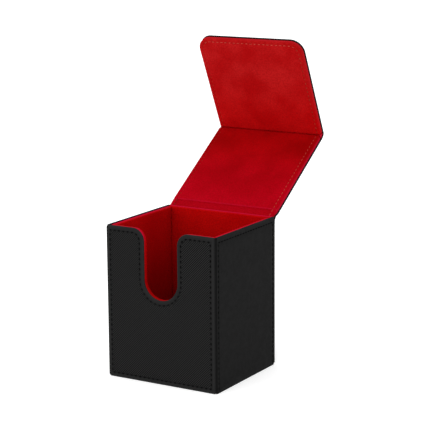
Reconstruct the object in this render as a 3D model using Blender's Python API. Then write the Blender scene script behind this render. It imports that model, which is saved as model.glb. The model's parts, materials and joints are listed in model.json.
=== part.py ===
"""Card deck box: a stitched leatherette box with a thumb notch, a fold-back lid and a magnetic front flap.

The frame's origin is the centre of the base, on the surface the box stands on. The notch and the flap's
closing side face -Y, the lid's hinge runs along X at the back, and +Z is up. The box is open at rest.
"""

from math import cos, pi, radians, sin

import bmesh
import bpy

MM = 0.001

# Driving dimensions, in metres.
BOX_WIDTH = 81.4 * MM
BOX_DEPTH = 75.6 * MM
BOX_HEIGHT = 100.0 * MM
LEATHER = 1.2 * MM  # outer leatherette
LINING = 0.8 * MM  # suede-like inner lining, turned over each board's edges
BOX_BOARD = 2.0 * MM  # greyboard inside the walls and the base
LID_BOARD = 1.6 * MM  # thinner greyboard inside the lid and the flap
GAP = 0.3 * MM  # glue line between two layers
EDGE_RADIUS = 0.9 * MM  # rounded outer edge of a leather panel
FINE_EDGE_RADIUS = 0.3 * MM  # softened edge of the lining

NOTCH_HALF_WIDTH = 12.4 * MM
NOTCH_CENTRE_HEIGHT = 67.6 * MM  # centre of the notch's round bottom
NOTCH_SHOULDER_RADIUS = 8.2 * MM

LID_WIDTH = 78.6 * MM
LID_LENGTH = 79.7 * MM  # from the lid's foot line to the fold, hinge strip included
HINGE_STRIP = 6.0 * MM  # flexible strip between the back wall and the lid's board
FLAP_LENGTH = 72.0 * MM
FLAP_CORNER_RADIUS = 8.6 * MM
LID_END_RADIUS = 1.5 * MM  # small corners at the hinge and at the fold
CREASE_SETBACK = 0.6 * MM  # each board stops this far from the fold line

LID_LEAN = radians(57.2)  # the open lid, measured back from upright
FOLD_ANGLE = radians(82.6)  # the flap, turned inwards from the lid's plane

LID_AXIS_BEHIND = 1.1 * MM  # the lid's hinge axis, behind the back face
LID_AXIS_ABOVE = 1.2 * MM  # and above the rim
LID_AXIS_DEPTH = 0.87 * MM  # from the lid's inner plane to its hinge axis
LID_AXIS_TO_FOLD = 77.9 * MM
FLAP_AXIS_FROM_FOLD = 4.2 * MM  # the flap's axis lies in the outer leather

STRIP_LEATHER = 1.0 * MM
STRIP_LINING = 0.6 * MM
BACK_LEATHER_HEIGHT = 95.0 * MM  # above this the back leather becomes the hinge strip

MAGNET_RADIUS = 6.0 * MM
MAGNET_CLEARANCE = 0.3 * MM
MAGNET_SPREAD = 20.0 * MM  # from the centre plane
MAGNET_FROM_FOLD = 60.0 * MM

ROUND_STEPS = 8  # segments in a quarter circle
EDGE_STEPS = 3  # segments across a rounded edge

WALL = LEATHER + GAP + BOX_BOARD + GAP + LINING
FLAP_PANEL = LEATHER + GAP + LID_BOARD + GAP + LINING
HALF_WIDTH = BOX_WIDTH / 2
HALF_DEPTH = BOX_DEPTH / 2
SKIN = LEATHER + GAP  # from an outer face to the lined board behind it


def clear_scene():
    for obj in list(bpy.data.objects):
        bpy.data.objects.remove(obj, do_unlink=True)


def principled(name, colour, roughness, metallic=0.0):
    material = bpy.data.materials.new(name)
    material.use_nodes = True
    shader = material.node_tree.nodes["Principled BSDF"]
    shader.inputs["Base Color"].default_value = (*colour, 1.0)
    shader.inputs["Roughness"].default_value = roughness
    shader.inputs["Metallic"].default_value = metallic
    material.diffuse_color = (*colour, 1.0)
    return material


def arc(centre, radius, start, end, steps):
    """Points along an arc, both ends included, with angles in degrees."""
    angles = [radians(start + (end - start) * i / steps) for i in range(steps + 1)]
    return [(centre[0] + radius * cos(a), centre[1] + radius * sin(a)) for a in angles]


# ---- Outlines: each takes an inset and gives a closed, anticlockwise list of points ----


def rectangle(half_width, low, high):
    def outline(inset):
        x = half_width - inset
        return [(-x, low + inset), (x, low + inset), (x, high - inset), (-x, high - inset)]

    return outline


def rounded_rectangle(half_width, low, high, low_radius, high_radius):
    """A rectangle whose two low corners and two high corners are round."""

    def outline(inset):
        x = half_width
        corners = (
            ((-x + low_radius, low + low_radius), low_radius, 180),
            ((x - low_radius, low + low_radius), low_radius, 270),
            ((x - high_radius, high - high_radius), high_radius, 0),
            ((-x + high_radius, high - high_radius), high_radius, 90),
        )
        points = []
        for centre, radius, start in corners:
            points += arc(centre, radius - inset, start, start + 90, ROUND_STEPS)
        return points

    return outline


def notched(half_width, low, high):
    """A rectangle with the thumb notch in its high edge: round shoulders and a round bottom."""

    def outline(inset):
        x = half_width - inset
        shoulder_x = NOTCH_HALF_WIDTH + NOTCH_SHOULDER_RADIUS
        shoulder_z = high - NOTCH_SHOULDER_RADIUS
        shoulder = NOTCH_SHOULDER_RADIUS - inset
        bottom = NOTCH_HALF_WIDTH + inset
        points = [(-x, low + inset), (x, low + inset), (x, high - inset)]
        points += arc((shoulder_x, shoulder_z), shoulder, 90, 180, ROUND_STEPS)
        points += arc((0, NOTCH_CENTRE_HEIGHT), bottom, 0, -180, 2 * ROUND_STEPS)
        points += arc((-shoulder_x, shoulder_z), shoulder, 0, 90, ROUND_STEPS)
        points.append((-x, high - inset))
        return points

    return outline


# ---- Solids: a panel lies in its own XY plane, with its inner face low and its outer face high in Z ----


def add_object(name, mesh, material, parent=None):
    obj = bpy.data.objects.new(name, mesh)
    bpy.context.scene.collection.objects.link(obj)
    mesh.materials.append(material)
    obj.parent = parent
    return obj


def loft(name, rings, material, parent=None):
    """A closed body through rings of equal length, capped at the first and the last."""
    mesh = bpy.data.meshes.new(name)
    build = bmesh.new()
    loops = [[build.verts.new(point) for point in ring] for ring in rings]
    count = len(loops[0])
    build.faces.new(reversed(loops[0]))
    build.faces.new(loops[-1])
    for lower, upper in zip(loops, loops[1:]):
        for i in range(count):
            j = (i + 1) % count
            build.faces.new((lower[i], lower[j], upper[j], upper[i]))
    bmesh.ops.recalc_face_normals(build, faces=build.faces)
    build.to_mesh(mesh)
    build.free()
    mesh.shade_smooth()
    mesh.set_sharp_from_angle(angle=radians(35))
    return add_object(name, mesh, material, parent)


def ring(outline, inset, depth):
    return [(x, y, depth) for x, y in outline(inset)]


def plate(name, outline, inset, low, high, material, parent):
    """A flat plate with square edges."""
    return loft(name, [ring(outline, inset, low), ring(outline, inset, high)], material, parent)


def leather_panel(name, outline, low, material, parent):
    """A leather sheet whose outer edge is rounded over."""
    top = low + LEATHER
    rings = [ring(outline, 0.0, low)]
    for i in range(EDGE_STEPS + 1):
        turn = pi / 2 * i / EDGE_STEPS
        inset = EDGE_RADIUS * (1 - cos(turn))
        rings.append(ring(outline, inset, top - EDGE_RADIUS * (1 - sin(turn))))
    return loft(name, rings, material, parent)


def lining_tray(name, outline, board, low, material, parent):
    """Lining over a board's inner face, turned over all its edges up to the leather."""
    lip = low + LINING + GAP + board
    rings = [
        ring(outline, FINE_EDGE_RADIUS, low),
        ring(outline, 0.0, low + FINE_EDGE_RADIUS),
        ring(outline, 0.0, lip),
        ring(outline, LINING, lip),
        ring(outline, LINING, low + LINING),
    ]
    return loft(name, rings, material, parent)


def panel(name, lined_outline, leather_outline, board, low, materials, parent):
    """The three layers of one wall, the lid or the flap, from its inner plane outwards. Gives the board."""
    board_low = low + LINING + GAP
    board_high = board_low + board
    lining_tray(f"{name}_lining", lined_outline, board, low, materials["lining"], parent)
    leather_panel(f"{name}_leather", leather_outline, board_high + GAP, materials["leather"], parent)
    return plate(
        f"{name}_board", lined_outline, LINING + GAP, board_low, board_high, materials["board"], parent
    )


def empty(name, location, rotation, parent=None):
    obj = bpy.data.objects.new(name, None)
    bpy.context.scene.collection.objects.link(obj)
    obj.location = location
    obj.rotation_euler = rotation
    obj.parent = parent
    return obj


def disc(name, centre, radius, low, high, material, parent):
    points = arc(centre, radius, 0, 360, 4 * ROUND_STEPS)[:-1]
    rings = [[(x, y, z) for x, y in points] for z in (low, high)]
    return loft(name, rings, material, parent)


def add_magnets(name, board_object, board_low, board, height, materials, parent):
    """Two disc magnets, each in a hole punched through the board."""
    for side, x in (("left", -MAGNET_SPREAD), ("right", MAGNET_SPREAD)):
        centre = (x, height)
        high = board_low + board
        disc(f"{name}_magnet_{side}", centre, MAGNET_RADIUS, board_low, high, materials["magnet"], parent)
        hole = MAGNET_RADIUS + MAGNET_CLEARANCE
        cutter_name = f"{name}_hole_cutter_{side}"
        cutter = disc(cutter_name, centre, hole, board_low - MM, high + MM, materials["magnet"], parent)
        cutter.hide_render = True
        cutter.display_type = "WIRE"
        cut = board_object.modifiers.new(f"hole_{side}", "BOOLEAN")
        cut.operation = "DIFFERENCE"
        cut.solver = "EXACT"
        cut.object = cutter


# ---- The box ----


def build_box(materials):
    """Four walls and a base. The front and back run the full width, and the side walls stand between them."""
    inner_width = HALF_WIDTH - SKIN
    side_half_depth = HALF_DEPTH - WALL - GAP
    low = SKIN
    fold_height_closed = BOX_HEIGHT + LID_AXIS_ABOVE - LID_AXIS_DEPTH

    front = empty("front_wall", (0, -HALF_DEPTH + WALL, 0), (pi / 2, 0, 0))
    front_lined = notched(inner_width, low, BOX_HEIGHT)
    front_outer = notched(HALF_WIDTH, 0.0, BOX_HEIGHT)
    board = panel("front", front_lined, front_outer, BOX_BOARD, 0.0, materials, front)
    magnet_height = fold_height_closed - MAGNET_FROM_FOLD
    add_magnets("front", board, LINING + GAP, BOX_BOARD, magnet_height, materials, front)

    back = empty("back_wall", (0, HALF_DEPTH - WALL, 0), (pi / 2, 0, pi))
    back_lined = rectangle(inner_width, low, BOX_HEIGHT)
    back_outer = rectangle(HALF_WIDTH, 0.0, BACK_LEATHER_HEIGHT)
    panel("back", back_lined, back_outer, BOX_BOARD, 0.0, materials, back)

    side_lined = rectangle(side_half_depth, low, BOX_HEIGHT)
    side_outer = rectangle(HALF_DEPTH - SKIN, 0.0, BOX_HEIGHT)
    for name, side in (("left", -1), ("right", 1)):
        wall = empty(f"{name}_wall", (side * (HALF_WIDTH - WALL), 0, 0), (pi / 2, 0, side * pi / 2))
        panel(name, side_lined, side_outer, BOX_BOARD, 0.0, materials, wall)

    base = empty("base", (0, 0, WALL), (pi, 0, 0))
    base_half_width = HALF_WIDTH - WALL - GAP
    base_lined = rectangle(base_half_width, -side_half_depth, side_half_depth)
    base_outer = rectangle(inner_width, -HALF_DEPTH + SKIN, HALF_DEPTH - SKIN)
    panel("bottom", base_lined, base_outer, BOX_BOARD, 0.0, materials, base)


# ---- The lid and the flap ----


def lid_foot():
    """How far up the lid its hinge axis stands, from the lid's foot line."""
    return LID_LENGTH - LID_AXIS_TO_FOLD


def build_lid(materials):
    """The lid hangs from an empty on its hinge axis. Its inner plane lies LID_AXIS_DEPTH inside the axis."""
    axis = (0, HALF_DEPTH + LID_AXIS_BEHIND, BOX_HEIGHT + LID_AXIS_ABOVE)
    hinge = empty("lid_axis", axis, (pi / 2 + LID_LEAN, 0, pi))
    start = HINGE_STRIP - lid_foot()
    end = LID_AXIS_TO_FOLD - CREASE_SETBACK
    outline = rounded_rectangle(LID_WIDTH / 2, start, end, LID_END_RADIUS, LID_END_RADIUS)
    leather_outline = rectangle(LID_WIDTH / 2, start, LID_AXIS_TO_FOLD - GAP)
    panel("lid", outline, leather_outline, LID_BOARD, -LID_AXIS_DEPTH, materials, hinge)
    return hinge


def flap_axis_offset():
    """From the fold line to the flap's axis: along the lid, and outwards through its thickness."""
    half = FOLD_ANGLE / 2
    return FLAP_AXIS_FROM_FOLD * sin(half), FLAP_AXIS_FROM_FOLD * cos(half)


def build_flap(materials, lid_hinge):
    """The flap hangs from an empty on its own axis, which rides on the lid."""
    along, outwards = flap_axis_offset()
    place = (0, LID_AXIS_TO_FOLD + along, outwards - LID_AXIS_DEPTH)
    hinge = empty("flap_axis", place, (-FOLD_ANGLE, 0, 0), lid_hinge)
    start = along + CREASE_SETBACK
    end = along + FLAP_LENGTH
    outline = rounded_rectangle(LID_WIDTH / 2, start, end, LID_END_RADIUS, FLAP_CORNER_RADIUS)
    leather_start = along + GAP
    leather_outline = rounded_rectangle(LID_WIDTH / 2, leather_start, end, LID_END_RADIUS, FLAP_CORNER_RADIUS)
    board = panel("flap", outline, leather_outline, LID_BOARD, -outwards, materials, hinge)
    magnet_height = along + MAGNET_FROM_FOLD
    add_magnets("flap", board, -outwards + LINING + GAP, LID_BOARD, magnet_height, materials, hinge)


# ---- The flexible strips ----


def hermite(start, start_pull, end, end_pull, t):
    """A point on the smooth curve from start to end, and its direction."""
    a = 2 * t**3 - 3 * t**2 + 1
    b = t**3 - 2 * t**2 + t
    c = -2 * t**3 + 3 * t**2
    d = t**3 - t**2
    da = 6 * t**2 - 6 * t
    db = 3 * t**2 - 4 * t + 1
    dd = 3 * t**2 - 2 * t
    point = [a * start[i] + b * start_pull[i] + c * end[i] + d * end_pull[i] for i in (0, 1)]
    slope = [da * start[i] + db * start_pull[i] - da * end[i] + dd * end_pull[i] for i in (0, 1)]
    length = (slope[0] ** 2 + slope[1] ** 2) ** 0.5
    return point, (slope[0] / length, slope[1] / length)


def strip(name, line, thickness, half_width, material, parent=None):
    """A strip of sheet that follows line, a list of (point, direction) in the YZ plane, across X."""
    left = [(p[0] - d[1] * thickness / 2, p[1] + d[0] * thickness / 2) for p, d in line]
    right = [(p[0] + d[1] * thickness / 2, p[1] - d[0] * thickness / 2) for p, d in line]
    profile = left + right[::-1]
    rings = [[(x, y, z) for y, z in profile] for x in (-half_width, half_width)]
    return loft(name, rings, material, parent)


def build_lid_hinge(materials):
    """Leather that leaves the back face and runs on into the lid, with a strip of lining on its inner side."""
    along = (sin(LID_LEAN), cos(LID_LEAN))
    outwards = (cos(LID_LEAN), -sin(LID_LEAN))
    axis = (HALF_DEPTH + LID_AXIS_BEHIND, BOX_HEIGHT + LID_AXIS_ABOVE)
    reach = HINGE_STRIP - lid_foot() - GAP
    depth = FLAP_PANEL - LEATHER / 2 - LID_AXIS_DEPTH
    start = (HALF_DEPTH - LEATHER / 2, BACK_LEATHER_HEIGHT + GAP)
    end = [axis[i] + reach * along[i] + depth * outwards[i] for i in (0, 1)]
    pull = 8.0 * MM
    start_pull = (0.0, pull)
    end_pull = (pull * along[0], pull * along[1])
    steps = [i / ROUND_STEPS for i in range(ROUND_STEPS + 1)]
    line = [hermite(start, start_pull, end, end_pull, t) for t in steps]
    half_width = LID_WIDTH / 2
    strip("lid_hinge_leather", line, STRIP_LEATHER, half_width, materials["leather"])
    lift = (STRIP_LEATHER + STRIP_LINING) / 2 + GAP
    lined = [((p[0] - d[1] * lift, p[1] + d[0] * lift), d) for p, d in line]
    clear_of_wall = HALF_DEPTH - SKIN + GAP + STRIP_LINING / 2
    lined = [(p, d) for p, d in lined if p[0] > clear_of_wall]
    strip("lid_hinge_lining", lined, STRIP_LINING, half_width, materials["lining"])


def build_flap_hinge(materials, lid_hinge):
    """Two sheets that turn round the fold line, from the lid's layers to the flap's."""
    half_width = LID_WIDTH / 2
    for name, depth, thickness, slot in (
        ("flap_hinge_leather", FLAP_PANEL - LEATHER / 2, STRIP_LEATHER, "leather"),
        ("flap_hinge_lining", FLAP_PANEL - LEATHER - GAP - STRIP_LINING / 2, STRIP_LINING, "lining"),
    ):
        line = []
        for i in range(ROUND_STEPS + 1):
            turn = FOLD_ANGLE * i / ROUND_STEPS
            point = (LID_AXIS_TO_FOLD + depth * sin(turn), depth * cos(turn) - LID_AXIS_DEPTH)
            line.append((point, (cos(turn), -sin(turn))))
        strip(name, line, thickness, half_width, materials[slot], lid_hinge)


def main():
    clear_scene()
    materials = {
        "leather": principled("black_leatherette", (0.018, 0.018, 0.019), 0.55),
        "lining": principled("red_lining", (0.40, 0.006, 0.010), 0.85),
        "board": principled("greyboard", (0.36, 0.34, 0.31), 0.9),
        "magnet": principled("magnet_nickel", (0.62, 0.61, 0.58), 0.25, 1.0),
    }
    build_box(materials)
    lid_hinge = build_lid(materials)
    build_flap(materials, lid_hinge)
    build_lid_hinge(materials)
    build_flap_hinge(materials, lid_hinge)


main()
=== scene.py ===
"""Looks of the card deck box: stitched black leatherette outside, red suede lining inside, open at rest.

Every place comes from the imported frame, in metres. A panel is made in a frame of its own, with X across it,
Y up or along it and Z out of the face that shows, and is then put in its place.
"""

import json
from collections import namedtuple
from math import cos, pi, radians, sin

import bmesh
import bpy
import numpy as np
from mathutils import Euler, Matrix, Vector
from mathutils.geometry import delaunay_2d_cdt


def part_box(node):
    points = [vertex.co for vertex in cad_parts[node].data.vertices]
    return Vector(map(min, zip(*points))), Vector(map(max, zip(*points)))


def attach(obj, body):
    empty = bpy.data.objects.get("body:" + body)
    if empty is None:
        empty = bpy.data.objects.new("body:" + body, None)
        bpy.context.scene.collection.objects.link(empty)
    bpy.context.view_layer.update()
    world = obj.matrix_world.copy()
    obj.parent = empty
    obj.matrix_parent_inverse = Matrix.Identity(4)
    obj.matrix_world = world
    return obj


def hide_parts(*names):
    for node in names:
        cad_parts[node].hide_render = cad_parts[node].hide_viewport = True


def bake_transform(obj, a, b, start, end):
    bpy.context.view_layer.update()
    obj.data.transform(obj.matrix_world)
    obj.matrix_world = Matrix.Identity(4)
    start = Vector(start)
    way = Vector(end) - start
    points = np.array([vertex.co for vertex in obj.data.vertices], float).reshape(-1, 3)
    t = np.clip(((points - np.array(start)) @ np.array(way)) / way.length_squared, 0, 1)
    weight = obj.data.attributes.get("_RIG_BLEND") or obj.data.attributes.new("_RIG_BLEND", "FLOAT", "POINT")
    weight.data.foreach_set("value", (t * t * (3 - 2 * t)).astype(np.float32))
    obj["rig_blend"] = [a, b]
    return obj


MM = 0.001

# The thumb notch, as in the frame.
NOTCH_HALF_WIDTH = 12.4 * MM
NOTCH_CENTRE_HEIGHT = 67.6 * MM
NOTCH_SHOULDER_RADIUS = 8.2 * MM

# Sheets.
CORNER_EDGE = 0.9 * MM  # rounding of the leatherette along the front's border and the front upright corners
REAR_EDGE = 0.5 * MM  # along the back's border
SIDE_EDGE = 0.2 * MM  # along the sides' borders
LEATHER_EDGE = 0.35 * MM  # along its other edges
FRONT_JOINT_SHADE = 1.7 * MM  # over which a cover's face comes out of the painted shade of its joints
SIDE_JOINT_SHADE = 0.4 * MM
HIGHLIGHT_INSET = 1.8 * MM  # painted highlight along a line this far from the front's upright edges, on its smooth border
HIGHLIGHT_HALF_WIDTH = 1.1 * MM
WALL_LINING_EDGE = 0.9 * MM  # soft turned edge of the suede on the walls
LINING_EDGE = 0.5 * MM  # soft turned edge of the suede on the lid and the flap
COVER_SPREAD = 0.6 * MM  # the soft covers of the lid and the flap reach this far past the frame's
LINING_SPREAD = 0.3 * MM  # and their linings this far
LINING_SHIFT = Vector((-0.25, 0, 0)) * MM  # the linings are glued a little to the left
COVER_RISES = {"front": 0.3 * MM, "left": 0.3 * MM, "right": 0.12 * MM}  # above the walls' tops
LINING_DROPS = {"back": 0, "left": 0.25 * MM, "right": 0.3 * MM, "bottom": 0}  # below the walls' tops
LID_SKEW = 0.65 * MM  # the lid runs this far to the left on its way to the fold
LINING = 0.8 * MM  # thickness of the suede
NOTCH_SHADE = 0.9  # the share of the edges' painted highlight taken away in the notch, as painted shade, at this depth below the wall's top
NOTCH_SHADE_REACH = 14 * MM
INNER_INSET = 0.1 * MM  # a cover's inner face has painted shade up to this far from its edge
GLUE_LINE = 0.02 * MM  # left between two layers that touch
SMALLEST_RADIUS = 0.25 * MM
FRONT_LOW_CORNER = 2.0 * MM
FRONT_HIGH_CORNER = 1.6 * MM
WALL_LINING_CORNER = 1.6 * MM
SIDE_CORNER = 0.5 * MM
FLAP_CORNER = 8.6 * MM
LID_CORNER = 0.45 * MM
LINING_RIM = 0.3  # how much of an edge's painted highlight reaches the lining's face
ARC_STEPS = 10  # segments in a quarter circle
EDGE_STEPS = 4  # segments across a rounded edge
GRID = 4.0 * MM  # spacing of the points inside a plain panel
MERGE = 1.0e-6
MITRE_LIMIT = 0.2  # keeps a mitred corner from running far out
SHARP_ANGLE = radians(40)
MIDDLE_CREST = 0.5

# Seams.
CHANNEL_HALF_WIDTH = 0.8 * MM
CHANNEL_LINES = (-1, -0.5, 0, 0.5, 1)  # a channel's mesh lines, as shares of its half width
LEATHER_CHANNEL = 0.18 * MM  # depth of the channel that a seam pulls into the leatherette
LINING_CHANNEL = 0.22 * MM
FRONT_SEAM_INSET = 3.0 * MM
FRONT_SEAM_EXTRA = 0.6 * MM  # the front's right side is stitched further in
SIDE_SEAM_INSET = 1.9 * MM
SIDE_SEAM_EXTRA = 1.3 * MM  # it runs lower below the side's top
SIDE_SEAM_START = 1.5 * MM  # above the side's foot
FLAP_SEAM_INSET = 2.4 * MM
STITCH_PITCH = 3.3 * MM
STITCH_LENGTH = 2.2 * MM
LONGEST_STITCH = 0.76  # of the pitch
LENGTH_SPREAD = (0.94, 1.04)  # a stitch's length and thickness vary between these factors
THICKNESS_SPREAD = (0.92, 1.06)
LEAN_SPREAD = (0.03, 0.09)  # how far its ends lie to the sides, in millimetres
THREAD_LIFT = 0.06 * MM
THREAD_SIDES = 8
THREAD_STEPS = 7
FLATNESS = 0.8  # a thread's height and a needle hole's width, as shares of their other measure
THREAD_TAPER = 0.35  # share of its radius that a thread loses at its ends
DIVE = 4  # the higher, the more suddenly a stitch's ends dive
HOLE_RISE = 0.06 * MM
HOLE_DEPTH = 0.15 * MM
HOLE_OFFSET = 0.125 * MM  # from a stitch's end to the middle of its needle hole
HOLE_REACH = 0.5 * MM  # a hole is turned along the seam as it runs this far to either side

# The front's ribs.
RIB_PITCH = 1.06 * MM
RIB_HEIGHT = 0.15 * MM
RIB_LINES = 4  # mesh lines for each rib
FIELD_START = 0.6 * MM  # from the seam to the ribbed field
FIELD_FADE = 0.5 * MM  # over which the ribs rise
PLAIN_CREST = 0.66  # the smooth border looks a little brighter than the ribs do on average
HIGHLIGHT_CREST = 0.035  # more where the painted highlight runs
OFF_CORNERS = 0.01  # the mesh lines keep off the outline's corners by this share of their spacing
FIELD_DROP = 0.10 * MM  # the field lies this much below the smooth border

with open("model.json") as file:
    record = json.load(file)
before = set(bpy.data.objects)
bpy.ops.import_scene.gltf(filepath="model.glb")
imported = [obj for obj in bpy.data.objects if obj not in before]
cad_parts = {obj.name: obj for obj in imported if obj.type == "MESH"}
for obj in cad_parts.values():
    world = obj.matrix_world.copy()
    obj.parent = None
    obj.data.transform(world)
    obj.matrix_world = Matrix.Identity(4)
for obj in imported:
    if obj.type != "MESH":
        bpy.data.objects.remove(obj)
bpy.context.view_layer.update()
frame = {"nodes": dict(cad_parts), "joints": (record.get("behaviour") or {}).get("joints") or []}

JOINTS = {joint["name"]: joint for joint in frame["joints"]}

Track = namedtuple("Track", "path closed")  # path(inset) gives a line of 2D points
Course = namedtuple("Course", "points normals closed")  # a seam's line in world space


# ---- Places, from the frame ----


def turned(x, z):
    return Euler((x, 0, z)).to_matrix().to_4x4()


def panel_places():
    """Where each panel's own frame lies, with Z pointing out of the box."""
    lid_turn = turned(radians(JOINTS["lid_hinge"]["range_deg"][1]), pi)
    fold = Matrix.Rotation(radians(JOINTS["flap_hinge"]["range_deg"][0]), 4, "X")
    return {
        "front": turned(pi / 2, 0),
        "back": turned(pi / 2, pi),
        "left": turned(pi / 2, -pi / 2),
        "right": turned(pi / 2, pi / 2),
        "bottom": turned(pi, 0),
        "lid": Matrix.Translation(JOINTS["lid_hinge"]["pos_m"]) @ lid_turn,
        "flap": Matrix.Translation(JOINTS["flap_hinge"]["pos_m"]) @ lid_turn @ fold,
    }


PLACES = panel_places()


def inward(place):
    """The same panel's frame turned round, so that Z points into the box."""
    return place @ Matrix.Rotation(pi, 4, "Y")


def extent(node, place):
    """Lowest and highest corner of a CAD node in a panel's frame."""
    inverse = place.inverted()
    points = np.array([inverse @ v.co for v in frame["nodes"][node].data.vertices])
    return Vector(points.min(0)), Vector(points.max(0))


def leather(panel):
    """Lowest and highest corner of a panel's leatherette, in the panel's frame."""
    return extent(f"{panel}_leather", PLACES[panel])


# ---- Lines ----


def arc(centre, radius, start, end, steps=ARC_STEPS):
    """Points along an arc, both ends included, with angles in degrees."""
    angles = [radians(start + (end - start) * i / steps) for i in range(steps + 1)]
    return [(centre[0] + radius * cos(a), centre[1] + radius * sin(a)) for a in angles]


def shrunk(radius, inset):
    return max(radius - inset, SMALLEST_RADIUS)


def rounded(half_width, low, high, low_radius, high_radius, high_edge=None, right_extra=0.0):
    """A closed track round a rectangle with round corners. high_edge(inset) breaks its high edge."""

    def path(inset):
        left = -half_width + inset
        right = half_width - inset - right_extra
        small = shrunk(low_radius, inset)
        large = shrunk(high_radius, inset)
        points = arc((left + small, low + inset + small), small, 180, 270)
        points += arc((right - small, low + inset + small), small, 270, 360)
        points += arc((right - large, high - inset - large), large, 0, 90)
        points += high_edge(inset) if high_edge else []
        return points + arc((left + large, high - inset - large), large, 90, 180)

    return Track(path, True)


def notched(half_width, low, high, low_radius, high_radius, right_extra=0.0):
    """A closed track round a rectangle whose high edge holds the thumb notch."""
    x = NOTCH_HALF_WIDTH + NOTCH_SHOULDER_RADIUS
    y = high - NOTCH_SHOULDER_RADIUS

    def notch(inset):
        shoulder = NOTCH_SHOULDER_RADIUS - inset
        points = arc((x, y), shoulder, 90, 180)
        points += arc((0, NOTCH_CENTRE_HEIGHT), NOTCH_HALF_WIDTH + inset, 0, -180, 3 * ARC_STEPS)
        return points + arc((-x, y), shoulder, 0, 90)

    return rounded(half_width, low, high, low_radius, high_radius, notch, right_extra)


def three_sides(half_width, low, high, radius):
    """An open track up the right side, across the high end and down the left side."""

    def path(inset):
        x = half_width - inset
        end = high - inset
        round_off = shrunk(radius, inset)
        points = [(x, low)]
        points += arc((x - round_off, end - round_off), round_off, 0, 90)
        points += arc((-x + round_off, end - round_off), round_off, 90, 180)
        points.append((-x, low))
        return points

    return Track(path, False)


def upside_down(track, low, high):
    """The same track mirrored between low and high, so that it crosses the low end."""
    return Track(lambda inset: [(x, low + high - y) for x, y in reversed(track.path(inset))], track.closed)


def two_sides(half_width, low, high):
    """Two straight open tracks, along the right and the left side."""
    return [
        Track(lambda inset: [(half_width - inset, low), (half_width - inset, high)], False),
        Track(lambda inset: [(inset - half_width, high), (inset - half_width, low)], False),
    ]


def box_line(half_width, low, high):
    return [(-half_width, low), (half_width, low), (half_width, high), (-half_width, high)]


def moved_in(track, inset):
    """A track that starts from a line already inset."""
    return Track(lambda more: track.path(inset + more), track.closed)


def distance_to(line, points, closed):
    """Distance from each 2D point to a line."""
    start = np.array(line)
    end = np.roll(start, -1, axis=0)
    if not closed:
        start, end = start[:-1], end[:-1]
    along = end - start
    square = np.maximum((along**2).sum(1), MERGE**2)
    offset = points[:, None, :] - start[None]
    share = np.clip((offset * along).sum(2) / square, 0, 1)
    gap = offset - share[..., None] * along
    return np.sqrt((gap**2).sum(2)).min(1)


def away_from(track, points):
    """Distance from each 2D point to a track's line."""
    return distance_to(track.path(0), points, track.closed)


def inside(line, points):
    """Whether each 2D point lies inside a closed line."""
    start = np.array(line)
    end = np.roll(start, -1, axis=0)
    x, y = points[:, None, 0], points[:, None, 1]
    spans = (start[:, 1] > y) != (end[:, 1] > y)
    rise = np.where(np.abs(end[:, 1] - start[:, 1]) < MERGE**2, MERGE**2, end[:, 1] - start[:, 1])
    crossing = start[:, 0] + (y - start[:, 1]) * (end[:, 0] - start[:, 0]) / rise
    return (spans & (x < crossing)).sum(1) % 2 == 1


def smooth(share):
    share = np.clip(share, 0, 1)
    return share * share * (3 - 2 * share)


def unit(vector):
    return vector / np.linalg.norm(vector)


# ---- Sheets: a panel's face drawn flat, raised by formula, and closed from below ----


def edge_drop(distance, radius):
    """How far a rounded edge falls below the face, at a distance from the border."""
    short = np.maximum(radius - distance, 0)
    return radius - np.sqrt(np.maximum(radius**2 - short**2, 0))


def edge_steps(radius):
    """Distances from the border of the mesh lines across a rounded edge."""
    return [radius * (1 - cos(pi / 2 * i / EDGE_STEPS)) for i in range(EDGE_STEPS + 1)]


def edge_highlight(distance, radius):
    """Where a rounded edge's painted highlight goes: 1 on the edge, falling to 0 on the face."""
    return 1 - smooth(distance / (2 * radius))


def channel_share(distance):
    return 0.5 + 0.5 * np.cos(pi * np.clip(distance / CHANNEL_HALF_WIDTH, 0, 1))


def grid_points(border, keep_off):
    """A regular grid inside a closed line, clear of the border."""
    low, high = np.array(border).min(0), np.array(border).max(0)
    xs = np.arange(low[0] + GRID, high[0], GRID)
    ys = np.arange(low[1] + GRID, high[1], GRID)
    points = np.array([(x, y) for x in xs for y in ys])
    clear = inside(border, points) & (distance_to(border, points, True) > keep_off)
    return [tuple(p) for p in points[clear]]


def border_loop(build):
    """The border's vertices in order, anticlockwise seen from the face."""
    following = {}
    for edge in build.edges:
        if len(edge.link_faces) == 1:
            loop = edge.link_loops[0]
            following[loop.vert] = loop.link_loop_next.vert
    start = next(iter(following))
    ordered = [start]
    while following[ordered[-1]] is not start:
        ordered.append(following[ordered[-1]])
    return ordered


def mitred(points, inset):
    """The closed anticlockwise line moved inwards, with mitred corners."""
    points = np.array(points)
    ahead = np.roll(points, -1, axis=0) - points
    ahead /= np.linalg.norm(ahead, axis=1)[:, None]
    behind = np.roll(ahead, 1, axis=0)
    normal_a = np.stack([-behind[:, 1], behind[:, 0]], 1)
    normal_b = np.stack([-ahead[:, 1], ahead[:, 0]], 1)
    spread = 1 + (normal_a * normal_b).sum(1)[:, None]
    return points + inset * (normal_a + normal_b) / np.maximum(spread, MITRE_LIMIT)


def joint_shade(joints, reach, places):
    """Painted shade: 1 where a cover meets the next one, falling to 0 on its face."""
    if not joints:
        return np.zeros(len(places))
    near = np.min([away_from(track, places) for track in joints], axis=0)
    return 1 - smooth(near / reach)


def mesh_layers(build):
    """The attributes that the materials read."""
    return [build.verts.layers.float.new(name) for name in ("rim", "darkening", "crest")]


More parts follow.
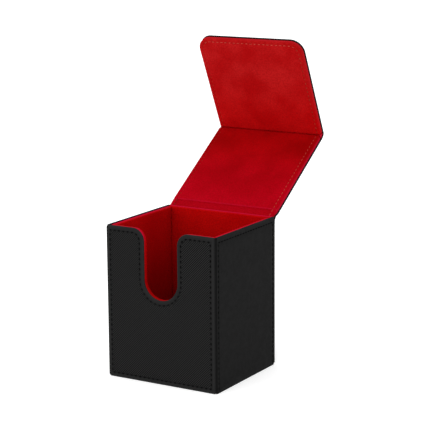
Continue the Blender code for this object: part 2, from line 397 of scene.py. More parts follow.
def close_below(build, underside):
    """Walls from the border through rings of (inset, depth), and a cap at the last, which is returned."""
    upper = border_loop(build)
    outline = [(v.co.x, v.co.y) for v in upper]
    for inset, depth in underside:
        lower = [build.verts.new((x, y, depth)) for x, y in mitred(outline, inset)]
        for i in range(len(upper)):
            j = (i + 1) % len(upper)
            build.faces.new((upper[i], lower[i], lower[j], upper[j]))
        upper = lower
    build.faces.new(list(reversed(upper)))
    return upper


def sheet(border, edges, top, underside, seams, channel, highlight_share=1, relief=None, lines=(), joints=(), reach=0):
    """A closed mesh. border is its outline, edges are (track, radius) pairs, and seams press channels.

    The attribute rim is 1 where an edge gets a painted highlight and -1 along the joints, which get painted
    shade with a reach.
    """
    points, constraints = [], []

    def draw(line, closed):
        first = len(points)
        points.extend(line)
        constraints.extend((first + i, first + i + 1) for i in range(len(line) - 1))
        if closed:
            constraints.append((len(points) - 1, first))

    draw(border, True)
    for edge, radius in edges:
        for inset in edge_steps(radius)[1:]:
            draw(edge.path(inset), edge.closed)
    for seam in seams:
        for share in CHANNEL_LINES:
            draw(seam.path(share * CHANNEL_HALF_WIDTH), seam.closed)
    for track in joints:
        draw(track.path(reach / 2), track.closed)
        draw(track.path(reach), track.closed)
    for line, closed in lines:
        draw(line, closed)
    if not relief:
        points.extend(grid_points(border, GRID))
    flat, _, triangles, *_ = delaunay_2d_cdt([Vector(p) for p in points], constraints, [], 1, MERGE)

    places = np.array([tuple(p) for p in flat])
    drops, rims = [], []
    for edge, radius in edges:
        near = away_from(edge, places)
        drops.append(edge_drop(near, radius))
        rims.append(highlight_share * edge_highlight(near, radius))
    pressed = np.zeros(len(places))
    for seam in seams:
        pressed = np.maximum(pressed, channel_share(away_from(seam, places)))
    heights = top - np.max(drops, axis=0) - channel * pressed
    rises, crests = relief(places) if relief else (0, np.full(len(places), MIDDLE_CREST))
    heights = heights + rises
    joined = joint_shade(joints, reach, places)
    rim_values = np.max(rims, axis=0) * (1 - joined) - joined

    build = bmesh.new()
    rim, darkening, crest = mesh_layers(build)
    verts = []
    for (x, y), z, near, press, share in zip(places, heights, rim_values, pressed, crests):
        vert = build.verts.new((x, y, z))
        vert[rim], vert[darkening], vert[crest] = float(near), float(press), float(share)
        verts.append(vert)
    for triangle in triangles:
        build.faces.new([verts[i] for i in triangle])
    if sum(face.normal.z for face in build.faces) < 0:
        bmesh.ops.reverse_faces(build, faces=build.faces)
    known = len(build.verts)
    last_ring = close_below(build, underside)
    build.verts.ensure_lookup_table()
    below = build.verts[known:]
    below_places = np.array([vert.co.xy for vert in below])
    # the flanks get the edges' painted highlight, and painted shade at the joints
    for vert, share in zip(below, joint_shade(joints, reach, below_places)):
        vert[rim] = 1 - 2 * float(share)
    for vert in last_ring:
        vert[rim] = -1.0
    bmesh.ops.recalc_face_normals(build, faces=build.faces)
    return build


def add_mesh(name, build, place, materials):
    mesh = bpy.data.meshes.new(name)
    build.to_mesh(mesh)
    build.free()
    mesh.transform(place)
    mesh.shade_smooth()
    mesh.set_sharp_from_angle(angle=SHARP_ANGLE)
    for material in materials:
        mesh.materials.append(material)
    obj = bpy.data.objects.new(name, mesh)
    bpy.context.scene.collection.objects.link(obj)
    return obj


def add_panel(name, node, build, place, material, body):
    obj = add_mesh(name, build, place, [material])
    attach(obj, body)
    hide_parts(node)


# ---- Seams ----


def course_on(track, place, surface):
    """A flat seam as a line in world space, on a face at the height surface."""
    points = np.array([place @ Vector((x, y, surface)) for x, y in track.path(0)])
    normal = np.array(place.to_3x3() @ Vector((0, 0, 1)))
    return Course(points, np.tile(normal, (len(points), 1)), track.closed)


def along_course(course):
    """The course's whole length, and a function from a length along it to a point and a normal."""
    points, normals = course.points, course.normals
    if course.closed:
        points = np.vstack([points, points[:1]])
        normals = np.vstack([normals, normals[:1]])
    steps = np.linalg.norm(np.diff(points, axis=0), axis=1)
    lengths = np.concatenate([[0], np.cumsum(steps)])
    total = lengths[-1]

    def at(length):
        length = length % total if course.closed else np.clip(length, 0, total)
        point = np.array([np.interp(length, lengths, points[:, k]) for k in range(3)])
        normal = np.array([np.interp(length, lengths, normals[:, k]) for k in range(3)])
        return point, unit(normal)

    return total, at


def add_ring(build, centre, radius, first, second):
    """Vertices round a centre, flattened along the second of two directions."""
    ring = []
    for k in range(THREAD_SIDES):
        turn = 2 * pi * k / THREAD_SIDES
        offset = radius * (cos(turn) * first + FLATNESS * sin(turn) * second)
        ring.append(build.verts.new(centre + offset))
    return ring


def join_rings(build, rings):
    """Four-sided faces from each ring to the next."""
    faces = []
    for first, second in zip(rings, rings[1:]):
        for i in range(len(first)):
            j = (i + 1) % len(first)
            faces.append(build.faces.new((first[i], first[j], second[j], second[i])))
    return faces


def add_stitch(build, at, middle, length, lift, thickness, lean):
    """A short arched thread whose two ends dive into the sheet."""
    stations = [at(middle + length * (k / (THREAD_STEPS - 1) - 0.5)) for k in range(THREAD_STEPS)]
    forward = unit(stations[-1][0] - stations[0][0])
    rings = []
    for k, (point, normal) in enumerate(stations):
        spread = 2 * k / (THREAD_STEPS - 1) - 1
        side = np.cross(normal, forward)
        height = lift * (1 - spread**DIVE) - thickness * spread**DIVE
        centre = point + normal * height + side * lean * spread
        rings.append(add_ring(build, centre, thickness * (1 - THREAD_TAPER * spread**DIVE), side, normal))
    build.faces.new(list(reversed(rings[0])))
    build.faces.new(rings[-1])
    join_rings(build, rings)


def add_needle_hole(build, at, place, radius):
    """A flat dark lens at a stitch's end: painted shade for the needle hole."""
    point, normal = at(place)
    ahead = unit(at(place + HOLE_REACH)[0] - at(place - HOLE_REACH)[0])
    top = build.verts.new(point + normal * HOLE_RISE)
    foot = build.verts.new(point - normal * HOLE_DEPTH)
    ring = add_ring(build, point, radius, ahead, np.cross(normal, ahead))
    faces = []
    for k in range(THREAD_SIDES):
        n = (k + 1) % THREAD_SIDES
        faces.append(build.faces.new((ring[k], ring[n], top)))
        faces.append(build.faces.new((ring[n], ring[k], foot)))
    return faces


def add_black_seam(courses, name, seed, size=None):
    return add_seam(name, courses, BLACK_SEAM, "leather", seed, **(size or COVER_THREAD))


def add_seam(name, courses, materials, slot, seed, thickness, hole, lift=THREAD_LIFT, length=STITCH_LENGTH):
    """The stitches and needle holes along some courses, as one object."""
    draw = np.random.default_rng(seed)
    build = bmesh.new()
    for course in courses:
        total, at = along_course(course)
        count = max(1, round(total / STITCH_PITCH))
        pitch = total / count
        for i in range(count):
            middle = (i + 0.5) * pitch
            own = min(length, LONGEST_STITCH * pitch) * draw.uniform(*LENGTH_SPREAD)
            lean = draw.uniform(*LEAN_SPREAD) * MM
            add_stitch(build, at, middle, own, lift, thickness * draw.uniform(*THICKNESS_SPREAD), lean)
            for end in (-0.5, 0.5):
                for face in add_needle_hole(build, at, middle + end * (own + 2 * HOLE_OFFSET), hole):
                    face.material_index = 1
    bmesh.ops.recalc_face_normals(build, faces=build.faces)
    obj = add_mesh(name, build, Matrix.Identity(4), materials)
    return obj


# ---- Materials ----


def add_node(tree, kind, **settings):
    made = tree.nodes.new(kind)
    for name, value in settings.items():
        setattr(made, name, value)
    return made


def object_coordinates(tree, stretch=(1, 1, 1)):
    coordinates = add_node(tree, "ShaderNodeTexCoord")
    mapping = add_node(tree, "ShaderNodeMapping")
    mapping.inputs["Scale"].default_value = stretch
    tree.links.new(coordinates.outputs["Object"], mapping.inputs["Vector"])
    return mapping.outputs["Vector"]


def texture(tree, kind, vector, output, inputs, **settings):
    """A texture's output, with its sockets set."""
    made = add_node(tree, kind, **settings)
    for name, value in inputs.items():
        made.inputs[name].default_value = value
    tree.links.new(vector, made.inputs["Vector"])
    return made.outputs[output]


def noise(tree, vector, size, detail=3.0):
    """Soft noise with features of about size, in metres."""
    return texture(tree, "ShaderNodeTexNoise", vector, "Fac", {"Scale": 1 / size, "Detail": detail})


def cells(tree, vector, size):
    """Distance to the nearest pebble's centre, for pebbles of about size."""
    return texture(tree, "ShaderNodeTexVoronoi", vector, "Distance", {"Scale": 1 / size}, feature="F1")


def remap(tree, value, low, high, to_low, to_high):
    made = add_node(tree, "ShaderNodeMapRange", interpolation_type="SMOOTHSTEP")
    for name, number in (("From Min", low), ("From Max", high), ("To Min", to_low), ("To Max", to_high)):
        made.inputs[name].default_value = number
    tree.links.new(value, made.inputs["Value"])
    return made.outputs["Result"]


def blend_colours(tree, share, first, second):
    """first where share is 0, second where it is 1. Each is a colour or an output."""
    made = add_node(tree, "ShaderNodeMix", data_type="RGBA")
    tree.links.new(share, made.inputs["Factor"])
    for name, value in (("A", first), ("B", second)):
        socket = next(s for s in made.inputs if s.name == name and s.type == "RGBA")
        if isinstance(value, tuple):
            socket.default_value = (*value, 1.0)
        else:
            tree.links.new(value, socket)
    return next(s for s in made.outputs if s.type == "RGBA")


def attribute(tree, name, low, high, most=1):
    """A mesh attribute as a share, from 0 where it is low to most where it is high."""
    value = add_node(tree, "ShaderNodeAttribute", attribute_name=name).outputs["Fac"]
    return remap(tree, value, low, high, 0, most)


def multiply(tree, first, second):
    made = add_node(tree, "ShaderNodeMath", operation="MULTIPLY")
    tree.links.new(first, made.inputs[0])
    tree.links.new(second, made.inputs[1])
    return made.outputs["Value"]


def bump(tree, height, distance, under=None):
    made = add_node(tree, "ShaderNodeBump")
    made.inputs["Distance"].default_value = distance
    tree.links.new(height, made.inputs["Height"])
    if under is not None:
        tree.links.new(under, made.inputs["Normal"])
    return made.outputs["Normal"]


def new_material(name, specular, metallic=0.0):
    material = bpy.data.materials.new(name)
    material.use_nodes = True
    shader = material.node_tree.nodes["Principled BSDF"]
    shader.inputs["Specular IOR Level"].default_value = specular
    shader.inputs["Metallic"].default_value = metallic
    return material, material.node_tree, shader


def finish_material(tree, shader, colour, roughness, normal):
    tree.links.new(colour, shader.inputs["Base Color"])
    tree.links.new(roughness, shader.inputs["Roughness"])
    tree.links.new(normal, shader.inputs["Normal"])


def leatherette(name, pebble, grain_depth, valley, crest, threshold):
    """Black leatherette with painted light: its ribs' crests get a painted highlight above the threshold, its
    rounded edges a patchy painted highlight, and its joints painted shade.
    """
    material, tree, shader = new_material(name, specular=0.03)
    place = object_coordinates(tree)
    # painted highlight: the ribs' crests are paler and their valleys nearly black
    ribs = attribute(tree, "crest", threshold, 1)
    colour = blend_colours(tree, ribs, (valley,) * 3, (crest,) * 3)
    # patchy painted highlight on the rounded edges
    highlight_share = remap(tree, noise(tree, place, 9 * MM), 0.35, 0.65, 0.35, 0.9)
    painted_highlight = multiply(tree, attribute(tree, "rim", 0.1, 1), highlight_share)
    colour = blend_colours(tree, painted_highlight, colour, (0.0190, 0.0190, 0.0195))
    colour = blend_colours(tree, attribute(tree, "darkening", 0.2, 1, 0.15), colour, (0.0050, 0.0050, 0.0052))
    # painted shade along the joints and on the covers' inner faces
    colour = blend_colours(tree, attribute(tree, "rim", 0, -1, 0.65), colour, (0.0012, 0.0012, 0.0012))
    roughness = remap(tree, noise(tree, place, 3 * MM), 0.3, 0.7, 0.58, 0.66)
    grain = bump(tree, cells(tree, place, pebble), grain_depth)
    grain = bump(tree, noise(tree, place, 0.25 * MM), 0.012 * MM, under=grain)
    finish_material(tree, shader, colour, roughness, grain)
    return material


def suede(name, patch, low, high, span, edge_highlight_colour):
    """Red suede with patches of about the size patch, a painted highlight on its edges and a short nap.

    low and high are (deep, pale) pairs of colours, and span gives the two heights between which they blend;
    this blend is painted light and shade, darker where less light falls.
    """
    material, tree, shader = new_material(name, specular=0.01)
    shader.inputs["Sheen Weight"].default_value = 0.05
    shader.inputs["Sheen Roughness"].default_value = 0.45
    shader.inputs["Sheen Tint"].default_value = (1.0, 0.03, 0.10, 1.0)
    place = object_coordinates(tree)
    patches = remap(tree, noise(tree, place, patch, 4.0), 0.30, 0.70, 0, 1)
    parts = add_node(tree, "ShaderNodeSeparateXYZ")
    tree.links.new(place, parts.inputs["Vector"])
    # painted shade by height: darker where less light falls
    climb = remap(tree, parts.outputs["Z"], *span, 0, 1)
    low, high = [blend_colours(tree, patches, *pair) for pair in (low, high)]
    colour = blend_colours(tree, climb, low, high)
    fibres = remap(tree, noise(tree, place, 0.9 * MM, 5.0), 0.35, 0.65, 0, 0.45)
    colour = blend_colours(tree, fibres, colour, (0.200, 0.0010, 0.0015))
    # painted highlight on the edges, where the nap catches the light
    colour = blend_colours(tree, attribute(tree, "rim", 0.2, 1, 0.7), colour, edge_highlight_colour)
    # darker in the seam channels, and painted shade in the lid hinge's recess
    colour = blend_colours(tree, attribute(tree, "darkening", 0.1, 1, 0.2), colour, (0.210, 0.0010, 0.0012))
    roughness = remap(tree, patches, 0, 1, 0.96, 0.88)
    nap = bump(tree, noise(tree, place, 0.35 * MM, 5.0), 0.05 * MM)
    nap = bump(tree, noise(tree, place, 2.5 * MM), 0.05 * MM, under=nap)
    finish_material(tree, shader, colour, roughness, nap)
    return material


def thread(name, dark, light, specular):
    """Twisted thread, with the two plies showing as a fine slanting change of colour and height."""
    material, tree, shader = new_material(name, specular)
    place = object_coordinates(tree)
    sockets = {"Scale": 1 / (3.0 * MM), "Distortion": 0.6}
    twist = texture(tree, "ShaderNodeTexWave", place, "Fac", sockets, bands_direction="DIAGONAL")
    colour = blend_colours(tree, twist, dark, light)
    roughness = remap(tree, noise(tree, place, 0.5 * MM), 0.3, 0.7, 0.55, 0.75)
    finish_material(tree, shader, colour, roughness, bump(tree, twist, 0.05 * MM))
    return material


def grained(name, specular, colours, grain, rough, depth, stretch=(1, 1, 1), metallic=0.0, fibrous=False):
    """Two close colours in a fine grain. grain is its size and, if it isn't plain, its detail."""
    material, tree, shader = new_material(name, specular, metallic)
    share = noise(tree, object_coordinates(tree, stretch), *grain)
    span = (0.3, 0.7)
    if fibrous:
        share = remap(tree, share, 0.35, 0.65, 0, 1)
        span = (0, 1)
    colour = blend_colours(tree, share, *colours)
    roughness = remap(tree, share, *span, *rough)
    finish_material(tree, shader, colour, roughness, bump(tree, share, depth))
    return material


def needle_hole(name, *colours):
    """Painted shade for the hole that a needle leaves."""
    return grained(name, 0.0, colours, (0.3 * MM,), (0.9, 1.0), 0.05 * MM)


def greyboard():
    """Recycled board: grey, with lighter and darker fibres."""
    colours = ((0.27, 0.25, 0.22), (0.40, 0.38, 0.34))
    grain = {"stretch": (1, 0.4, 1), "fibrous": True}
    return grained("greyboard", 0.2, colours, (0.8 * MM, 6.0), (0.85, 0.97), 0.05 * MM, **grain)


def nickel():
    """Plated magnet: nickel with fine scratches."""
    colours = ((0.55, 0.54, 0.51), (0.68, 0.67, 0.64))
    grain = {"stretch": (1, 1, 8), "fibrous": True, "metallic": 1.0}
    return grained("nickel_plate", 0.5, colours, (0.7 * MM, 5.0), (0.2, 0.38), 0.01 * MM, **grain)


# Painted light and shade: the box's, the lid's and the flap's suede are one suede, each with its own painted
# light and shade, darker low in the box and on the lid near the fold.
BOX_LOW_RED = ((0.300, 0.0006, 0.0008), (0.340, 0.0016, 0.0013))
BOX_HIGH_RED = ((0.425, 0.0008, 0.0010), (0.480, 0.0022, 0.0018))
LID_LOW_RED = ((0.355, 0.0003, 0.0052), (0.415, 0.0007, 0.0082))
LID_HIGH_RED = ((0.240, 0.0002, 0.0004), (0.360, 0.0006, 0.0016))
FLAP_LOW_RED = ((0.370, 0.0012, 0.0018), (0.430, 0.0030, 0.0034))
FLAP_HIGH_RED = ((0.340, 0.0030, 0.0036), (0.415, 0.0086, 0.0092))
# Colours of the painted highlight on the suede's edges.
CRIMSON = (0.590, 0.0075, 0.0600)
ROSE = (0.475, 0.0060, 0.0290)
PINK = (0.440, 0.0120, 0.0190)
BOX_SPAN = (20 * MM, 100 * MM)
LID_SPAN = (104 * MM, 142 * MM)
FLAP_SPAN = (145 * MM, 190 * MM)

MATERIALS = {
    "ribbed": leatherette("black_leatherette_ribbed", 0.45 * MM, 0.01 * MM, 0.0008, 0.0340, 0.45),
    "leather": leatherette("black_leatherette", 0.65 * MM, 0.015 * MM, 0.0062, 0.0062, 0.0),
    "suede": suede("red_suede", 18 * MM, BOX_LOW_RED, BOX_HIGH_RED, BOX_SPAN, CRIMSON),
    "lid_suede": suede("red_suede_lid", 24 * MM, LID_LOW_RED, LID_HIGH_RED, LID_SPAN, ROSE),
    "flap_suede": suede("red_suede_flap", 16 * MM, FLAP_LOW_RED, FLAP_HIGH_RED, FLAP_SPAN, PINK),
    "black_thread": thread("black_thread", (0.0012, 0.0012, 0.0012), (0.0032, 0.0032, 0.0033), 0.0),
    "red_thread": thread("red_thread", (0.350, 0.028, 0.020), (0.520, 0.068, 0.044), 0.10),
    # the red thread with painted shade, for the seams that get less light
    "shaded_red_thread": thread("red_thread_painted_shade", (0.190, 0.018, 0.008), (0.290, 0.034, 0.017), 0.08),
    "black_hole": needle_hole("needle_hole_black", (0.0010, 0.0010, 0.0010), (0.0025, 0.0025, 0.0025)),
    "red_hole": needle_hole("needle_hole_red", (0.020, 0.001, 0.001), (0.060, 0.003, 0.002)),
    "board": greyboard(),
    "magnet": nickel(),
}

FRONT_THREAD = {"thickness": 0.72 * MM, "hole": 0.36 * MM, "lift": -0.22 * MM, "length": 2.15 * MM}
COVER_THREAD = {"thickness": 0.56 * MM, "hole": 0.36 * MM, "lift": -0.12 * MM}
THIN_THREAD = {"thickness": 0.23 * MM, "hole": 0.20 * MM}
SUNK_THREAD = {"thickness": 0.24 * MM, "hole": 0.22 * MM, "lift": 0.02 * MM, "length": 1.9 * MM}
DOT_THREAD = {"thickness": 0.18 * MM, "hole": 0.26 * MM, "lift": 0.0, "length": 1.6 * MM}
BLACK_SEAM = [MATERIALS["black_thread"], MATERIALS["black_hole"]]
RED_SEAM = [MATERIALS["red_thread"], MATERIALS["red_hole"]]
SHADED_RED_SEAM = [MATERIALS["shaded_red_thread"], MATERIALS["red_hole"]]


# ---- The box's outer leatherette ----


def rib_lines(border):
    """The ribs' mesh lines: parallel diagonals, cut where they leave the closed line border."""
    corners = np.array(border)
    across = (corners[:, 0] - corners[:, 1]) / 2**0.5
    along = (corners[:, 0] + corners[:, 1]) / 2**0.5
    across_next, along_next = np.roll(across, -1), np.roll(along, -1)
    spacing = RIB_PITCH / RIB_LINES
    found = []
    for number in range(int(across.min() / spacing), int(across.max() / spacing) + 1):
        level = (number + OFF_CORNERS) * spacing
        hit = (across > level) != (across_next > level)
        share = (level - across[hit]) / (across_next[hit] - across[hit])
        ends = np.sort(along[hit] + share * (along_next[hit] - along[hit]))
        for start, end in zip(ends[::2], ends[1::2]):
            if end - start > RIB_PITCH:
                pair = [((a + level) / 2**0.5, (a - level) / 2**0.5) for a in (start, end)]
                found.append((pair, False))
    return found


def ribs_at(points):
    """From 0 in a rib's valleys to 1 on its crests."""
    return 0.5 + 0.5 * np.cos(2 * pi * (points[:, 0] - points[:, 1]) / 2**0.5 / RIB_PITCH)


def field_share(field, points):
    """1 in the ribbed field, falling to 0 at its border."""
    return smooth(np.where(inside(field.path(0), points), away_from(field, points), 0) / FIELD_FADE)


NO_SKEW = Matrix.Identity(4)


def add_cover(name, panel, body, line, edges, seams=(), stitching=(), skew=NO_SKEW, look="leather", **more):
    """A panel of leatherette within a line. stitching is its name, its seed and, if special, its thread."""
    low, high = leather(panel)
    place = PLACES[panel] @ skew
    underside = [(0, low.z), (INNER_INSET, low.z)]
    build = sheet(line, edges, high.z, underside, seams, LEATHER_CHANNEL, **more)
    add_panel(name, f"{panel}_leather", build, place, MATERIALS[look], body)
    if stitching:
        courses = [course_on(seam, place, high.z - LEATHER_CHANNEL) for seam in seams]
        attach(add_black_seam(courses, *stitching), body)


def build_front():
    """The front: a field of diagonal ribs, a little below the smooth border round it."""
    low, high = leather("front")
    size = (high.x, low.y, high.y + COVER_RISES["front"], FRONT_LOW_CORNER, FRONT_HIGH_CORNER)
    edge = notched(*size)
    seam = moved_in(notched(*size, FRONT_SEAM_EXTRA), FRONT_SEAM_INSET)
    field = moved_in(seam, FIELD_START)
    lines = [(field.path(0), True), (field.path(FIELD_FADE), True)] + rib_lines(field.path(0))
    joints = two_sides(*size[:3])
    lines += [(track.path(HIGHLIGHT_INSET), False) for track in joints]

    def relief(points):
        ribs, share = ribs_at(points), field_share(field, points)
        # painted highlight along a line near the upright edges
        off_line = np.abs(high.x - np.abs(points[:, 0]) - HIGHLIGHT_INSET)
        plain = PLAIN_CREST + HIGHLIGHT_CREST * (1 - smooth(off_line / HIGHLIGHT_HALF_WIDTH))
        return share * (ribs * RIB_HEIGHT - FIELD_DROP), plain + share * (ribs - plain)

    details = {"look": "ribbed", "relief": relief, "lines": lines}
    shade = {"joints": joints, "reach": FRONT_JOINT_SHADE}
    stitching = ("front_stitching", 11, FRONT_THREAD)
    edges = [(edge, CORNER_EDGE)]
    add_cover("front_cover", "front", "case", edge.path(0), edges, [seam], stitching, **details, **shade)


def build_side(name, seed):
    low, high = leather(name)
    size = (high.x, low.y, high.y + COVER_RISES[name])
    edge = rounded(*size, SIDE_CORNER, SIDE_CORNER)
    seam_line = three_sides(high.x, low.y + SIDE_SEAM_START, high.y - SIDE_SEAM_EXTRA, SIDE_CORNER)
    seams = [moved_in(seam_line, SIDE_SEAM_INSET)]
    shade = {"joints": two_sides(*size), "reach": SIDE_JOINT_SHADE}
    edges = [(edge, SIDE_EDGE)]
    stitching = (f"{name}_stitching", seed)
    add_cover(f"{name}_cover", name, "case", edge.path(0), edges, seams, stitching, **shade)


def build_back():
    """The back's leatherette runs on into the lid hinge, so its high edge isn't rounded."""
    low, high = leather("back")
    hinge_width = extent("lid_hinge_leather", PLACES["back"])[1].x
    edge = upside_down(three_sides(high.x, low.y, high.y, FRONT_LOW_CORNER), low.y, high.y)
    seam_line = three_sides(hinge_width, low.y, high.y, FRONT_LOW_CORNER)
    seam = upside_down(moved_in(seam_line, FLAP_SEAM_INSET), low.y, high.y)
    edges = [(edge, REAR_EDGE)]
    add_cover("back_cover", "back", "case", edge.path(0), edges, [seam], ("back_stitching", 14))


def build_base():
    low, high = leather("bottom")
    edge = rounded(high.x, low.y, high.y, SIDE_CORNER, SIDE_CORNER)
    add_cover("base_cover", "bottom", "case", edge.path(0), [(edge, LEATHER_EDGE)])


# ---- Lid and flap covers ----


def lid_skew():
    """The lid's slight shear: its far end lies to the box's left."""
    skew = Matrix.Identity(4)
    skew[0][1] = LID_SKEW / fold_line()[0]
    return skew


def flap_foot():
    """The fold's place along the flap's own frame."""
    y, z, _ = fold_line()
    return (PLACES["flap"].inverted() @ PLACES["lid"] @ Vector((0, y, z))).y


def build_lid_cover():
    low, high = leather("lid")
    size = (high.x + COVER_SPREAD, low.y, fold_line()[0] - GLUE_LINE)
    seams = [moved_in(track, FLAP_SEAM_INSET) for track in two_sides(high.x, low.y, high.y)]
    edges = [(track, LEATHER_EDGE) for track in two_sides(*size)]
    stitching = ("lid_outer_stitching", 15)
    add_cover("lid_cover", "lid", "lid", box_line(*size), edges, seams, stitching, lid_skew())


def build_flap_cover():
    low, high = leather("flap")
    size = (high.x + COVER_SPREAD, flap_foot() + GLUE_LINE, high.y + COVER_SPREAD)
    edge = three_sides(*size, FLAP_CORNER + COVER_SPREAD)
    seam = moved_in(three_sides(high.x, low.y, high.y, FLAP_CORNER), FLAP_SEAM_INSET)
    edges = [(edge, LEATHER_EDGE)]
    add_cover("flap_cover", "flap", "flap", edge.path(0), edges, [seam], ("flap_outer_stitching", 16))


# ---- Linings: trays of suede, made with their frames turned inwards ----


def tray_underside(panel, top):
    """Rings that turn a lining's edges over its board, up to the leatherette's inner face."""
    lip = GLUE_LINE - leather(panel)[0].z
    return [(0, lip), (LINING, lip), (LINING, top - LINING)]


def lining_sheet(border, edges, top, underside, seams=(), radius=LINING_EDGE):
    edges = [(edge, radius) for edge in edges]
    return sheet(border.path(0), edges, top, underside, seams, LINING_CHANNEL, highlight_share=LINING_RIM)


def shade_notch(build, top):
    """Painted shade: less painted highlight on the edges down in the notch, out of the light."""
    rim = build.verts.layers.float["rim"]
    for vert in build.verts:
        vert[rim] *= 1 - NOTCH_SHADE * float(smooth((top - vert.co.y) / NOTCH_SHADE_REACH))


def build_wall_lining(panel, make_edge):
    inner = inward(PLACES[panel])
    low, high = extent(f"{panel}_lining", inner)
    edge = make_edge(high.x, low.y, high.y)
    underside = tray_underside(panel, high.z)
    build = lining_sheet(edge, [edge], high.z, underside, radius=WALL_LINING_EDGE)
    if panel == "front":
        shade_notch(build, high.y)
    add_panel(f"{panel}_suede", f"{panel}_lining", build, inner, MATERIALS["suede"], "case")


def build_soft_lining(panel, corner, sides, skew=NO_SKEW):
    """The lid's or the flap's lining. sides(half_width, low, high) gives its rounded edges' tracks."""
    place = PLACES[panel]
    low, high = extent(f"{panel}_lining", inward(place))
    size = (high.x + LINING_SPREAD, low.y, high.y)
    border = rounded(*size, LID_CORNER, corner)
    seams = [moved_in(track, FLAP_SEAM_INSET) for track in sides(high.x, low.y, high.y)]
    underside = tray_underside(panel, high.z)
    build = lining_sheet(border, sides(*size), high.z, underside, seams)
    bmesh.ops.translate(build, verts=build.verts, vec=LINING_SHIFT)
    drawn = inward(place @ skew)
    look = MATERIALS[f"{panel}_suede"]
    add_panel(f"{panel}_suede", f"{panel}_lining", build, drawn, look, panel)
    return [course_on(seam, drawn, high.z - LINING_CHANNEL) for seam in seams]


def build_lid_lining():
    right, left = build_soft_lining("lid", LID_CORNER, two_sides, lid_skew())
    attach(add_seam("lid_inner_stitching_right", [right], RED_SEAM, "lining", 21, **THIN_THREAD), "lid")
    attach(add_seam("lid_inner_stitching_left", [left], SHADED_RED_SEAM, "lining", 22, **DOT_THREAD), "lid")


def build_flap_lining():
    course = build_soft_lining("flap", FLAP_CORNER, lambda *size: [three_sides(*size, FLAP_CORNER)])[0]
    parts = {
        "right": (0, ARC_STEPS // 2 + 1, SHADED_RED_SEAM, SUNK_THREAD),
        "end": (ARC_STEPS // 2 + 1, 3 * ARC_STEPS // 2 + 2, RED_SEAM, THIN_THREAD),
        "left": (3 * ARC_STEPS // 2 + 2, len(course.points) - 1, SHADED_RED_SEAM, DOT_THREAD),
    }
    for seed, (name, (first, last, look, size)) in enumerate(parts.items(), 23):
        part = Course(course.points[first : last + 1], course.normals[first : last + 1], False)
        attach(add_seam(f"flap_inner_stitching_{name}", [part], look, "lining", seed, **size), "flap")


# ---- Hinge strips ----


STRIP_LINES = 8  # across each half of a strip, between its seams


def hermite(start, start_pull, end, end_pull, steps):
    """Points on the smooth curve from start to end, and the unit normals on its left."""
    t = np.linspace(0, 1, steps + 1)[:, None]
    points = (2 * t**3 - 3 * t**2 + 1) * start + (3 * t**2 - 2 * t**3) * end
    points += (t**3 - 2 * t**2 + t) * start_pull + (t**3 - t**2) * end_pull
    slopes = (6 * t**2 - 6 * t) * (start - end)
    slopes += (3 * t**2 - 4 * t + 1) * start_pull + (3 * t**2 - 2 * t) * end_pull
    slopes /= np.linalg.norm(slopes, axis=1)[:, None]
    return points, np.column_stack([-slopes[:, 1], slopes[:, 0]])


def strip_stations(half_width, radius, seam_x):
    """Where a strip is cut across X: at its rounded ends and at its seams' channels."""
    ends = [half_width - inset for inset in edge_steps(radius)]
    channel = [seam_x + share * CHANNEL_HALF_WIDTH for share in CHANNEL_LINES]
    middle = list(np.linspace(0, seam_x - 2 * CHANNEL_HALF_WIDTH, STRIP_LINES))
    right = sorted(set(ends + channel + middle))
    return [-x for x in reversed(right[1:])] + right


WIDENING_START = 0.9  # a widened strip moves out beyond this share of its half width,
WIDENING_FADE = 0.07  # and has moved the whole way after this much more
# share of the painted edge highlight on a strip's inner face
INNER_FACE_RIM = 0.6


def ribbon(stations, lower, upper, drop, widening=None):
    """A closed strip across X. lower and upper are its profiles in YZ, and drop(x) gives upper's offsets.

    widening says how much further out the strip's two ends lie at each point of the profiles.
    """
    build = bmesh.new()
    rim, darkening, crest = mesh_layers(build)
    if widening is None:
        widening = np.zeros(len(lower))
    rings = []
    for x in stations:
        # drop(x) also gives the edge highlight and the darkening, which holds painted shade in the lid
        # hinge's recess
        offsets, near_edge, pressed = drop(x)
        pressed = np.broadcast_to(pressed, len(offsets))
        near_edge = np.broadcast_to(near_edge, len(offsets))
        face = upper[0] - upper[1] * offsets[:, None]
        share = float(smooth((abs(x) / stations[-1] - WIDENING_START) / WIDENING_FADE))
        shift = np.sign(x) * share * widening
        ring = []
        for more, (y, z), near, press in zip(shift, face, near_edge, pressed):
            ring.append(build.verts.new((x + more, y, z)))
            ring[-1][rim], ring[-1][darkening] = float(near), float(press)
        for more, (y, z) in zip(shift[::-1], lower[::-1]):
            ring.append(build.verts.new((x + more, y, z)))
            ring[-1][rim] = INNER_FACE_RIM
        for vert in ring:
            vert[crest] = MIDDLE_CREST
        rings.append(ring)
    build.faces.new(rings[0])
    build.faces.new(rings[-1])
    join_rings(build, rings)
    bmesh.ops.recalc_face_normals(build, faces=build.faces)
    return build


def plain_ribbon(half_width, radius, seam_x, channel, lower, upper, widening=None):
    """A ribbon with rounded ends and two seam channels."""

    def drop(x):
        near = half_width - abs(x)
        pressed = float(channel_share(abs(abs(x) - seam_x)))
        offset = float(edge_drop(near, radius)) + channel * pressed
        return np.full(len(lower), offset), edge_highlight(near, radius), pressed

    return ribbon(strip_stations(half_width, radius, seam_x), lower, upper, drop, widening)


def lid_point(y, z):
    """A point of the lid's own frame, in the world's YZ plane."""
    return np.array((PLACES["lid"] @ Vector((0, y, z))).yz)


def strip_course(profile, normals, x, offset):
    points = profile - normals * offset
    world = np.column_stack([np.full(len(points), x), points])
    facing = np.column_stack([np.zeros(len(points)), normals])
    return Course(world, facing, False)


def add_blended(name, node, build, look, bodies, ends):
    obj = add_mesh(name, build, Matrix.Identity(4), [MATERIALS[look]])
    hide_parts(node)
    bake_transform(obj, *bodies, start=ends[0], end=ends[1])


